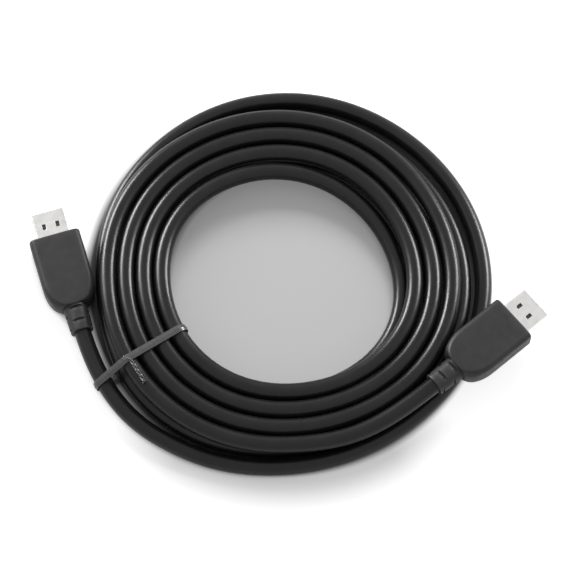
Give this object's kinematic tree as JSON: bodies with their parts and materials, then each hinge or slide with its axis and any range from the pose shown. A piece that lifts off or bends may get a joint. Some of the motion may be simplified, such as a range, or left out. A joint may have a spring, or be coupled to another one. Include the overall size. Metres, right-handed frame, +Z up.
{
  "type": "audio-video cable",
  "caption": "Coiled round audio-video cable, held by a wire tie, with the same flat slant-sided metal-nosed plug on both ends.",
  "frame": {"origin": "on the surface the cable lies on, below the middle of its overall box", "axes": "+X to the right as seen from the side where both cord ends leave the coil, along the cable's greatest width; +Y away from that side; +Z up, square to the coil"},
  "size_m": [0.2063, 0.1646, 0.0175],
  "materials": {
    "cord_jacket": "satin",
    "hood_plastic": "matte",
    "nose_metal": "satin nickel",
    "can_metal": "satin",
    "black_insulator": "matte",
    "gold_contacts": "plated",
    "pale_plastic": "matte",
    "pale_mould": "matte",
    "wire_insulation": "satin",
    "tie_plastic": "satin"
  },
  "bodies": {
    "root": {"shell_a": "nose_metal", "contact_carrier_a": "black_insulator", "upper_contacts_a": "gold_contacts", "lower_contacts_a": "gold_contacts", "wire_comb_a": "pale_plastic", "wires_a": "wire_insulation", "upper_can_a": "can_metal", "lower_can_a": "can_metal", "inner_mould_a": "pale_mould", "hood_a": "hood_plastic", "shell_b": "nose_metal", "contact_carrier_b": "black_insulator", "upper_contacts_b": "gold_contacts", "lower_contacts_b": "gold_contacts", "wire_comb_b": "pale_plastic", "wires_b": "wire_insulation", "upper_can_b": "can_metal", "lower_can_b": "can_metal", "inner_mould_b": "pale_mould", "hood_b": "hood_plastic", "cord_coil": "cord_jacket", "cord_lead_a": "cord_jacket", "cord_lead_b": "cord_jacket", "wire_tie": "tie_plastic"}
  },
  "joints": []
}
